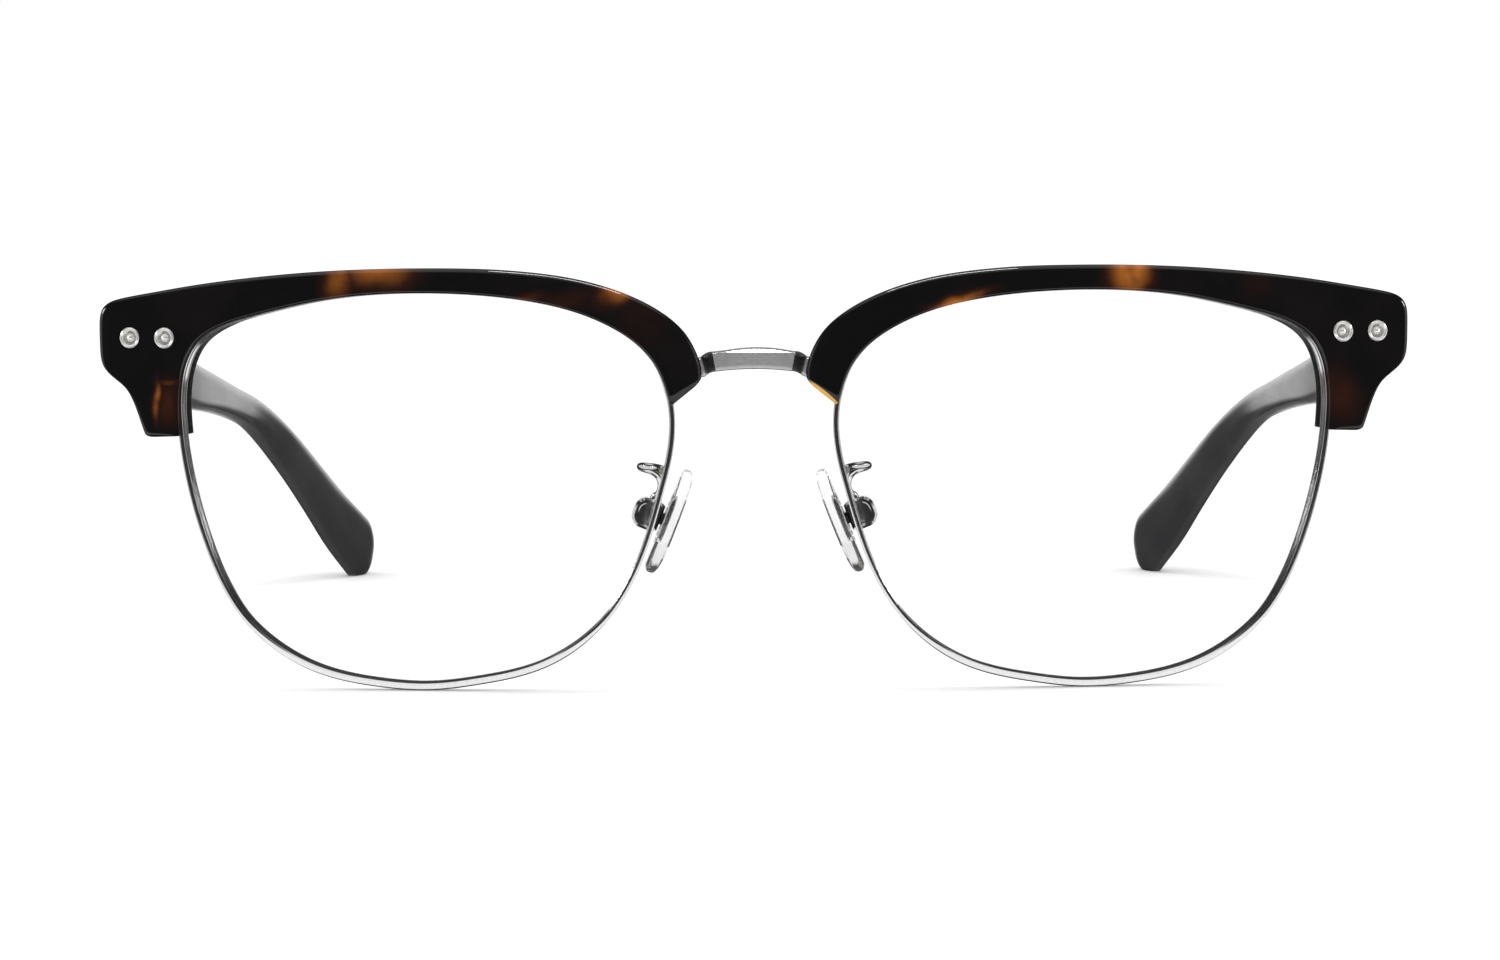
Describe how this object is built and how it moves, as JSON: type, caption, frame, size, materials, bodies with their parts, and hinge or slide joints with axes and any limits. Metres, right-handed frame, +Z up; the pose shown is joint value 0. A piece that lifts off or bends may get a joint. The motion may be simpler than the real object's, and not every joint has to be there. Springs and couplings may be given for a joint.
{
  "type": "half rim eyeglasses",
  "caption": "Browline eyeglasses: dark acetate brow bars over thin metal eyewires, a metal bridge, hinged folding temples and rocking silicone nose pads.",
  "frame": {"origin": "middle of the glasses' box on the surface they stand on, rims and temple tips down", "axes": "+X to the wearer's left, -Y the way the front faces, +Z up"},
  "size_m": [0.1482, 0.1471, 0.0478],
  "materials": {
    "brow_acetate": "polished dark tortoise acetate",
    "temple_acetate": "satin polished near-black acetate",
    "rim_metal": "fine brushed silver",
    "bridge_metal": "satin silver with polished edges",
    "rivet_metal": "polished",
    "screw_metal": "machined",
    "hinge_metal": "satin",
    "core_wire": "drawn wire",
    "pad_metal": "polished",
    "insert_metal": "stamped",
    "pad_silicone": "translucent silicone",
    "lens_plastic": "clear, polished"
  },
  "bodies": {
    "front": {"bridge": "bridge_metal", "brow_bar_left": "brow_acetate", "brow_bar_right": "brow_acetate", "eyewire_left": "rim_metal", "eyewire_right": "rim_metal", "lens_left": "lens_plastic", "lens_right": "lens_plastic", "brow_screw_left": "screw_metal", "brow_screw_right": "screw_metal", "end_rivet_left_1": "rivet_metal", "end_rivet_left_2": "rivet_metal", "end_rivet_right_1": "rivet_metal", "end_rivet_right_2": "rivet_metal", "rim_lock_left": "rim_metal", "rim_lock_right": "rim_metal", "rim_lock_screw_left": "screw_metal", "rim_lock_screw_right": "screw_metal", "hinge_plate_left": "hinge_metal", "hinge_plate_right": "hinge_metal", "hinge_screw_left": "screw_metal", "hinge_screw_right": "screw_metal", "pad_arm_left": "pad_metal", "pad_arm_right": "pad_metal", "pad_box_left": "pad_metal", "pad_box_right": "pad_metal", "pad_screw_left": "screw_metal", "pad_screw_right": "screw_metal"},
    "temple_left": {"temple_left": "temple_acetate", "temple_core_left": "core_wire", "hinge_leaf_left": "hinge_metal", "temple_rivet_left_1": "rivet_metal", "temple_rivet_left_2": "rivet_metal"},
    "temple_right": {"temple_right": "temple_acetate", "temple_core_right": "core_wire", "hinge_leaf_right": "hinge_metal", "temple_rivet_right_1": "rivet_metal", "temple_rivet_right_2": "rivet_metal"},
    "nose_pad_left": {"nose_pad_left": "pad_silicone", "pad_insert_left": "insert_metal"},
    "nose_pad_right": {"nose_pad_right": "pad_silicone", "pad_insert_right": "insert_metal"}
  },
  "joints": [
    {"name": "temple_hinge_left", "type": "hinge", "parent": "front", "child": "temple_left", "pos_m": [0.0678, -0.05955, 0.03867], "axis": [0, 0, 1], "range_deg": [0, 86]},
    {"name": "temple_hinge_right", "type": "hinge", "parent": "front", "child": "temple_right", "pos_m": [-0.0678, -0.05955, 0.03867], "axis": [0, 0, -1], "range_deg": [0, 80]},
    {"name": "nose_pad_pivot_left", "type": "hinge", "parent": "front", "child": "nose_pad_left", "pos_m": [0.0116, -0.06351, 0.0193], "axis": [0.0486, 0.9986, 0.0193], "range_deg": [-10, 10]},
    {"name": "nose_pad_pivot_right", "type": "hinge", "parent": "front", "child": "nose_pad_right", "pos_m": [-0.0116, -0.06351, 0.0193], "axis": [-0.0486, 0.9986, 0.0193], "range_deg": [-10, 10]}
  ]
}
